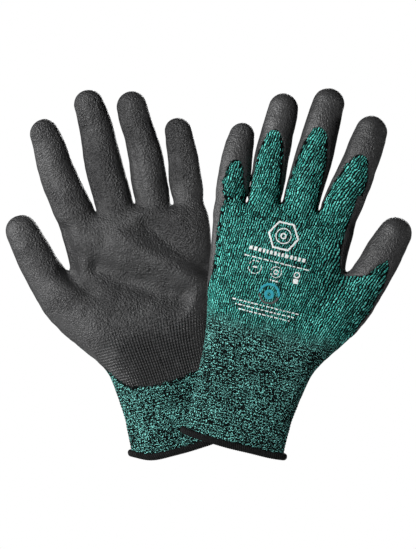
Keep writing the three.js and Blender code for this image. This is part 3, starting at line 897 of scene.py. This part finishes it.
def make_hem(glove, material):
    """The overlocked edge: a soft roll of thread wound round the end of the cuff, each turn a ridge."""
    count = HEM_POINTS
    wall, normals, length = outline(glove.shape, 2.0, count)
    turns = round(length / HEM["stitch"])
    along = np.arange(count) / count
    corner = np.exp(-((wall[:, 0] - wall[:, 0].min()) / 4) ** 2) + np.exp(-((wall[:, 0].max() - wall[:, 0]) / 4) ** 2)
    middle, half = (HEM["proud"] - HEM["inside"]) / 2, (HEM["proud"] + HEM["inside"]) / 2
    sway = glove.shape.hem(wall[:, 0]) + 0.2 * waves(wall, 26, 21)
    rows, rest = [], []
    for k in range(HEM_RINGS):
        angle = 2 * math.pi * k / HEM_RINGS
        c, s = math.cos(angle), math.sin(angle)
        out = np.sign(c) * abs(c) ** 0.75
        up = np.sign(s) * abs(s) ** 0.85
        ridge = np.abs(np.sin(math.pi * (along * turns + 0.55 * math.sin(angle) + 0.3 * out))) ** 0.7
        swell = HEM["thread"] * (ridge - 0.6)
        reach = middle + (half + swell + HEM["corner"] * corner * (c > 0)) * out
        height = (HEM["low"] + HEM["high"]) / 2 + ((HEM["high"] - HEM["low"]) / 2 + swell) * up
        point = wall + normals * reach[:, None]
        point[:, 2] = height + sway
        rows.append(point)
        rest.append(np.stack([along * length, np.full(count, k * 0.6), ridge], axis=1))
    hem = ring_mesh(glove, "hem_thread_roll", rows[::-1], material, np.concatenate(rest[::-1]))
    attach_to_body(hem, glove.own("cuff"))
    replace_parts(hem, glove.own("hem_binding"))


ELASTIC = {"low": 5.0, "high": 21.5, "depth": 0.7, "step": 0.35}


def make_elastic(glove, material):
    """The band of elastic yarn laid in rows round the inside of the cuff."""
    count = 200
    heights = np.arange(ELASTIC["low"], ELASTIC["high"], ELASTIC["step"])
    rows, rest = [], []
    for depth, steps in ((WALL + 0.08, heights), (WALL + 0.08 + ELASTIC["depth"], heights[::-1])):
        for height in steps:
            wall, normals, length = outline(glove.shape, float(height), count)
            row = 0.22 * abs(math.sin(math.pi * height / CUFF_RIB)) if depth > WALL + 0.2 else 0.0
            point = wall - normals * (depth - row)
            rows.append(point)
            along = np.arange(count) / count * length
            rest.append(np.stack([along, np.full(count, height), np.full(count, row)], axis=1))
    band = ring_mesh(glove, "elastic_band", rows[::-1], material, np.concatenate(rest[::-1]))
    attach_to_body(band, glove.own("cuff"))
    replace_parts(band, glove.own("cuff_elastic"))


# ---------------------------------------------------------------- the print on the back of the hand
INK = 0.14  # thickness
INK_GRID = 0.34
WORN_OFF, WORN_UNEVEN = 0.10, 0.16  # how much of a mark's edge is worn away
PRINT_AREA = (-30, 23), (91, 163)  # across and up


def box_mark(x, z, cx, cz, hw, hh):
    return np.minimum(hw - np.abs(x - cx), hh - np.abs(z - cz))


def ring_mark(x, z, cx, cz, radius, line):
    return line / 2 - np.abs(np.hypot(x - cx, z - cz) - radius)


def hexagon_mark(x, z, cx, cz, radius, line):
    a, b = np.abs(x - cx), np.abs(z - cz)
    return line / 2 - np.abs(np.maximum(a * 0.866 + b * 0.5, b) - radius)


def bar_row(x, z, left, right, height, tall, widths, gap, rng):
    """A row of plain bars, each of its own length, in the place of a line of print."""
    best, at = np.full(x.shape, -9.0), left
    while at < right:
        wide = min(rng.uniform(*widths), right - at)
        best = np.maximum(best, box_mark(x, z, at + wide / 2, height, wide / 2, tall / 2))
        at += wide + gap
    return best


def print_marks(x, z):
    rng = np.random.default_rng(5)
    marks = [
        hexagon_mark(x, z, -4, 150, 9.0, 1.5),
        ring_mark(x, z, -4, 150, 5.2, 0.9),
        ring_mark(x, z, -4, 150, 1.7, 1.2),
        bar_row(x, z, -25, 16, 137, 2.9, (1.5, 2.6), 0.9, rng),
        bar_row(x, z, -27, 19, 131.2, 1.0, (2.0, 5.0), 0.7, rng),
        ring_mark(x, z, -18, 124.6, 4.4, 0.6),
        box_mark(x, z, -18, 124.6, 1.7, 0.6),
        ring_mark(x, z, -3, 124.6, 3.7, 0.6),
        hexagon_mark(x, z, -3, 124.6, 1.4, 0.8),
        bar_row(x, z, -6, 1, 118.4, 1.2, (1.0, 1.8), 0.6, rng),
        ring_mark(x, z, 11.5, 126.0, 1.8, 1.0),
        box_mark(x, z, 11.5, 121.6, 1.9, 1.7),
        bar_row(x, z, -28, 20, 100.0, 1.0, (1.2, 3.2), 0.7, rng),
        bar_row(x, z, -25, 17, 97.0, 1.0, (1.2, 3.2), 0.7, rng),
        bar_row(x, z, -22, 14, 94.0, 1.0, (1.2, 3.2), 0.7, rng),
    ]
    return np.max(marks, axis=0)


def badge_marks(x, z):
    return np.maximum(np.minimum(ring_mark(x, z, -4, 109, 6.6, 1.9), z - 108.6), ring_mark(x, z, -4, 108.6, 2.3, 2.4))


def badge_foot_marks(x, z):
    return np.minimum(ring_mark(x, z, -4, 109, 6.6, 1.5), 107.8 - z)


def make_print(glove, skin, name, marks, material):
    """Thin film that follows the back of the hand."""
    x, z = (np.arange(a, b, INK_GRID) for a, b in PRINT_AREA)
    grid_x, grid_z = np.meshgrid(x, z, indexing="ij")
    i, j = np.meshgrid(np.arange(len(x) - 1), np.arange(len(z) - 1), indexing="ij")
    a = (i * len(z) + j).ravel()
    b, c, d = a + len(z), a + len(z) + 1, a + 1
    tris = np.concatenate([np.stack([a, b, c], axis=1), np.stack([a, c, d], axis=1)])
    flat = np.stack([grid_x.ravel(), grid_z.ravel()], axis=1)
    wear = np.stack([flat[:, 0], np.zeros(len(flat)), flat[:, 1]], axis=1)
    value = marks(flat[:, 0], flat[:, 1]) - WORN_OFF - WORN_UNEVEN * waves(wear, 1.5, 31, 40)
    table, tris = clip(flat, tris, value)
    tree = BVHTree.FromPolygons(skin["knit"].tolist(), skin.tris.tolist())
    hits = [tree.ray_cast(Vector((px, -60, pz)), Vector((0, 1, 0))) for px, pz in table]
    points = np.array([list(h[0]) for h in hits])
    normals = np.array([list(h[1]) for h in hits])
    base = np.array([0.0, -0.05, 0.0])
    points, tris, _ = close_shell(points + [0, -INK, 0], points + base, tris)
    film = blender_mesh(glove.own(name), glove.place(points), tris, material, points)
    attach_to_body(film, glove.own("hand"))
    return film


# ---------------------------------------------------------------- materials
class Nodes:
    """Short ways to add and link a material's nodes."""

    def __init__(self, name):
        self.material = bpy.data.materials.new(name)
        self.material.use_nodes = True
        self.tree = self.material.node_tree
        self.shader = self.tree.nodes["Principled BSDF"]

    def add(self, kind, inputs=None, **settings):
        node = self.tree.nodes.new(kind)
        for key, value in settings.items():
            setattr(node, key, value)
        for key, value in (inputs or {}).items():
            self.put(value, node.inputs[key])
        return node

    def put(self, value, socket):
        if hasattr(value, "links"):
            self.tree.links.new(value, socket)
        else:
            socket.default_value = value

    def math(self, operation, *values):
        return self.add("ShaderNodeMath", dict(enumerate(values)), operation=operation).outputs[0]

    def plus(self, a, b):
        return self.math("ADD", a, b)

    def minus(self, a, b):
        return self.math("SUBTRACT", a, b)

    def times(self, a, b):
        return self.math("MULTIPLY", a, b)

    def sine(self, phase):
        return self.math("SINE", phase)

    def parts(self, vector):
        return self.add("ShaderNodeSeparateXYZ", {0: vector}).outputs

    def vector(self, operation, *values):
        return self.add("ShaderNodeVectorMath", dict(enumerate(values)), operation=operation).outputs[0]

    def attribute(self, name):
        return self.add("ShaderNodeAttribute", attribute_name=name).outputs["Vector"]

    def noise(self, vector, scale, detail=2.0, roughness=0.5, output="Fac"):
        return self.add(
            "ShaderNodeTexNoise", {"Vector": vector, "Scale": scale, "Detail": detail, "Roughness": roughness}
        ).outputs[output]

    def ramp(self, value, low, high, to_low=0.0, to_high=1.0):
        sockets = {0: value, 1: low, 2: high, 3: to_low, 4: to_high}
        return self.add("ShaderNodeMapRange", sockets, interpolation_type="SMOOTHSTEP").outputs[0]

    def mix(self, share, a, b):
        node = self.add("ShaderNodeMix", {"Factor": share}, data_type="RGBA")
        self.put(a, node.inputs[6])
        self.put(b, node.inputs[7])
        return node.outputs[2]

    def bump(self, height, distance, strength=1.0):
        sockets = {"Height": height, "Distance": distance, "Strength": strength}
        return self.add("ShaderNodeBump", sockets).outputs[0]

    def finish(self, **sockets):
        for key, value in sockets.items():
            self.put(value, self.shader.inputs[key.replace("_", " ")])
        return self.material


TURN = 2 * math.pi


def grey(level, blue=0.0):
    return (level, level, level + blue, 1)


def stitches(n, wale, row, pitch, lean, seed):
    """Dashes in leaning columns: how raised each is, and random numbers for it."""
    wale = n.minus(wale, n.times(row, lean))
    column = n.math("FLOOR", wale)
    start = n.add("ShaderNodeTexWhiteNoise", {"W": n.plus(column, seed)}, noise_dimensions="1D").outputs[0]
    up = n.plus(n.math("DIVIDE", row, pitch), start)
    cell = n.add("ShaderNodeCombineXYZ", {0: column, 1: n.math("FLOOR", up), 2: seed}).outputs[0]
    sides = []
    for place, narrow, power in ((wale, 3.75, 2.0), (up, 2.15, 4.0)):
        off = n.math("ABSOLUTE", n.times(n.minus(n.math("FRACT", place), 0.5), narrow))
        sides.append(n.math("MAXIMUM", n.minus(1.0, n.math("POWER", off, power)), 0.0))
    random = n.add("ShaderNodeTexWhiteNoise", {"Vector": cell}, noise_dimensions="3D").outputs[1]
    return n.times(*sides), n.parts(random)


STITCH = {"pitch": 2.1, "lean": 0.17, "seed": 3.0}
CUFF_KNIT = (100.0, 84.0)  # the stitches give way to the cuff's mottle between these heights
MOTTLE_ROWS = 1.7
TEAL_DEEP, TEAL_BRIGHT, TEAL_CUFF = (0.060, 0.440, 0.375, 1), (0.210, 0.930, 0.810, 1), (0.34, 0.74, 0.69, 1)
YARN_BLACK = (0.003, 0.0045, 0.0045, 1)


def knit_material():
    n = Nodes("marled_knit")
    rest = n.attribute("rest")
    wale, row, inside = n.parts(n.attribute("stitch"))
    uneven = n.times(n.minus(n.noise(rest, 0.06, 2.0), 0.5), 0.16)
    twist = n.noise(rest, 1.1, 2.0, 0.6)
    wobble = n.parts(n.noise(rest, 0.2, 1.0, output="Color"))
    cuff = n.ramp(n.plus(n.parts(rest)[2], n.times(n.noise(rest, 0.15), 14.0)), *CUFF_KNIT)
    raised, random = stitches(n, n.plus(wale, n.times(wobble[0], 1.6)), n.plus(row, n.times(wobble[1], 2.4)), **STITCH)
    # over the hand, leaning teal marks with black between them; the black in the gaps between the raised stitches is
    # painted shade, the rest is the black yarn of the marl
    lit = n.times(n.ramp(raised, 0.0, 0.42), n.ramp(n.minus(twist, uneven), 0.37, 0.50, 0.05, 1.0))
    lit = n.times(lit, n.ramp(random[0], 0.0, 0.45, 0.28, 1.0))
    # over the cuff, a finer mottle in rows
    fine = n.vector("MULTIPLY", rest, (1.3, 1.3, 2.0))
    rows = n.times(n.sine(n.times(row, TURN / MOTTLE_ROWS)), 0.035)
    mottle = n.plus(n.minus(n.noise(fine, 1.0, 0.0), uneven), rows)
    lit = n.plus(lit, n.times(cuff, n.minus(n.ramp(mottle, 0.60, 0.70), lit)))
    # the film has soaked into the stitches at the dip line, unevenly
    soaked = n.math("LESS_THAN", n.plus(inside, n.times(random[0], 3.6)), 1.4)
    lit = n.times(lit, soaked)
    teal = n.mix(n.math("POWER", random[1], 1.3), TEAL_DEEP, TEAL_BRIGHT)
    teal = n.mix(n.times(cuff, 0.55), teal, TEAL_CUFF)
    normal = n.bump(n.plus(raised, n.times(twist, 0.6)), 0.00030, 0.8)
    colour = n.mix(lit, YARN_BLACK, teal)
    return n.finish(Base_Color=colour, Roughness=0.9, Normal=normal, Specular_IOR_Level=0.03)


WEAVE_WALES, WEAVE_ROWS = 1.45, 1.6  # spacing of the knit that shows through at the heel of the palm


def coating_material():
    n = Nodes("polyurethane_coating")
    rest = n.attribute("rest")
    wale, row, inside = n.parts(n.attribute("stitch"))
    place = n.parts(rest)
    heel = n.times(n.ramp(place[2], 96.0, 66.0), n.ramp(place[1], 0.0, 6.0))
    heel = n.times(heel, n.ramp(place[0], 34.0, 10.0, 0.3, 1.0))
    bend = n.noise(rest, 0.05, 2.0)
    grid_x = n.sine(n.plus(n.times(wale, TURN / WEAVE_WALES), n.times(bend, 2.0)))
    grid_z = n.sine(n.plus(n.times(row, TURN / WEAVE_ROWS), n.times(bend, 3.0)))
    weave = n.times(n.plus(n.times(grid_x, 0.7), grid_z), heel)
    weave = n.times(weave, n.ramp(n.noise(rest, 0.12, 2.0), 0.25, 0.6, 0.5, 1.0))
    grain = n.noise(rest, 0.85, 3.0, 0.6)
    pebble = n.add("ShaderNodeTexVoronoi", {"Vector": rest, "Scale": 0.85}, feature="SMOOTH_F1").outputs["Distance"]
    patch = n.ramp(n.noise(rest, 0.045, 2.0), 0.35, 0.65, 0.45, 1.0)
    patch = n.times(patch, n.ramp(place[1], -5.0, 7.0, 0.5, 1.0))
    colour = n.mix(n.ramp(n.noise(rest, 0.05, 3.0), 0.3, 0.7), grey(0.035, 0.001), grey(0.046, 0.001))
    colour = n.mix(n.times(n.ramp(grain, 0.54, 0.36), patch), colour, grey(0.013, 0.001))
    colour = n.mix(n.ramp(inside, 0.0, 1.4, 1.0, 0.0), colour, (0.008, 0.010, 0.010, 1))
    # painted shade: the grooves between the ribs of the knit under the film at the heel are coloured near black
    colour = n.mix(n.times(heel, n.ramp(weave, 0.1, -1.1)), colour, grey(0.004, 0.001))
    relief = n.times(n.plus(n.times(grain, 1.2), pebble), patch)
    normal = n.bump(n.plus(relief, n.times(weave, 0.8)), 0.00130)
    rough = n.ramp(grain, 0.3, 0.7, 0.58, 0.40)
    return n.finish(Base_Color=colour, Roughness=rough, Normal=normal, Specular_IOR_Level=0.62)


def thread_material():
    n = Nodes("overlock_thread")
    rest = n.attribute("rest")
    fibre = n.noise(n.vector("MULTIPLY", rest, (2.2, 0.6, 1.0)), 1.4, 3.0)
    # the thread is coloured darker in the grooves between its turns, where the ridge value in rest is low: painted
    # shade
    colour = n.mix(n.times(n.parts(rest)[2], n.ramp(fibre, 0.3, 0.7)), grey(0.001), grey(0.020, 0.001))
    return n.finish(Base_Color=colour, Roughness=0.8, Normal=n.bump(fibre, 0.00025, 0.7), Specular_IOR_Level=0.08)


def elastic_material():
    n = Nodes("laid_in_elastic")
    round_cuff, height, _ = n.parts(n.attribute("rest"))
    twist = n.sine(n.plus(n.times(round_cuff, 4.4), n.times(height, 2.1)))
    colour = n.mix(n.ramp(twist, -0.6, 0.8), grey(0.018, 0.001), grey(0.060, 0.002))
    return n.finish(Base_Color=colour, Roughness=0.75, Normal=n.bump(twist, 0.0002, 0.6), Specular_IOR_Level=0.25)


def ink_material(name, low, high):
    n = Nodes(name)
    cracks = n.noise(n.attribute("rest"), 1.6, 3.0, 0.7)
    colour = n.mix(n.ramp(cracks, 0.32, 0.5), low, high)
    return n.finish(Base_Color=colour, Roughness=0.5, Normal=n.bump(cracks, 0.00008, 0.6), Specular_IOR_Level=0.35)


def floor_material():
    n = Nodes("studio_floor")
    cloud = n.noise(n.add("ShaderNodeTexCoord").outputs["Object"], 6.0, 2.0)
    return n.finish(Base_Color=n.mix(cloud, grey(0.86), grey(0.90)), Roughness=0.9)


# ---------------------------------------------------------------- making everything
knit_finish, coat_finish, thread_finish = knit_material(), coating_material(), thread_material()
elastic_finish = elastic_material()
white_ink = ink_material("white_print", (0.35, 0.40, 0.39, 1), (0.86, 0.88, 0.87, 1))
blue_ink = ink_material("blue_print", (0.01, 0.09, 0.12, 1), (0.03, 0.36, 0.45, 1))
grey_ink = ink_material("grey_print", (0.02, 0.02, 0.02, 1), (0.10, 0.10, 0.10, 1))

for glove in GLOVES:
    skin = grow_skin(glove.shape)
    make_skins(glove, split_skin(skin), knit_finish, coat_finish)
    make_hem(glove, thread_finish)
    make_elastic(glove, elastic_finish)
    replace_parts(make_print(glove, skin, "back_print_film", print_marks, white_ink), glove.own("back_print"))
    make_print(glove, skin, "back_badge_film", badge_marks, blue_ink)
    make_print(glove, skin, "back_badge_foot_film", badge_foot_marks, grey_ink)

# ---------------------------------------------------------------- camera, light and floor
LENS, SENSOR = 200.0, 36.0
VIEW_HEIGHT = 0.70 * 549 * MM  # what the camera sees of the plane of the gloves: 0.70 mm to each row of the image
AIM = Vector((0.0203, -0.018, 0.120))
camera = bpy.data.objects.new("camera", bpy.data.cameras.new("camera"))
camera.data.lens, camera.data.sensor_width = LENS, SENSOR
camera.location = AIM - Vector((0, VIEW_HEIGHT * LENS / SENSOR, 0))
camera.rotation_euler = (math.pi / 2, 0, 0)
camera.data.clip_start, camera.data.clip_end = 0.05, 20
bpy.context.scene.collection.objects.link(camera)
bpy.context.scene.camera = camera

LIGHTS = {  # place, size, power
    "key": [(-1.20, -1.30, 0.58), 0.5, 43],
    "left_rim": [(-1.75, 0.20, 0.35), 0.5, 14],
    "right_rim": [(1.75, 0.35, 0.30), 0.5, 4],
    "back": [(0.40, 1.80, 0.80), 1.0, 20],
}
for name, (place, size, power) in LIGHTS.items():
    light = bpy.data.lights.new(name, "AREA")
    light.shape, light.size, light.energy = "DISK", size, power
    lamp = bpy.data.objects.new(name, light)
    lamp.location = place
    lamp.rotation_euler = (AIM - Vector(place)).to_track_quat("-Z", "Y").to_euler()
    bpy.context.scene.collection.objects.link(lamp)

world = bpy.data.worlds.new("studio")
world.use_nodes = True
tree = world.node_tree
seen = tree.nodes.new("ShaderNodeBackground")
seen.inputs[0].default_value = grey(1)
path = tree.nodes.new("ShaderNodeLightPath")
either = tree.nodes.new("ShaderNodeMixShader")
lit = tree.nodes["Background"]
lit.inputs[0].default_value = grey(0.01)
tree.links.new(path.outputs["Is Camera Ray"], either.inputs[0])
tree.links.new(lit.outputs[0], either.inputs[1])
tree.links.new(seen.outputs[0], either.inputs[2])
tree.links.new(either.outputs[0], tree.nodes["World Output"].inputs[0])
bpy.context.scene.world = world
bpy.context.scene.view_settings.view_transform = "Standard"

FLOOR_RADIUS, FLOOR_PLACE = 0.42, (0.02, 0.0, -0.125)
bpy.ops.mesh.primitive_circle_add(vertices=96, radius=FLOOR_RADIUS, fill_type="NGON", location=FLOOR_PLACE)
floor = bpy.context.object
floor.name = "floor"
floor.data.materials.append(floor_material())
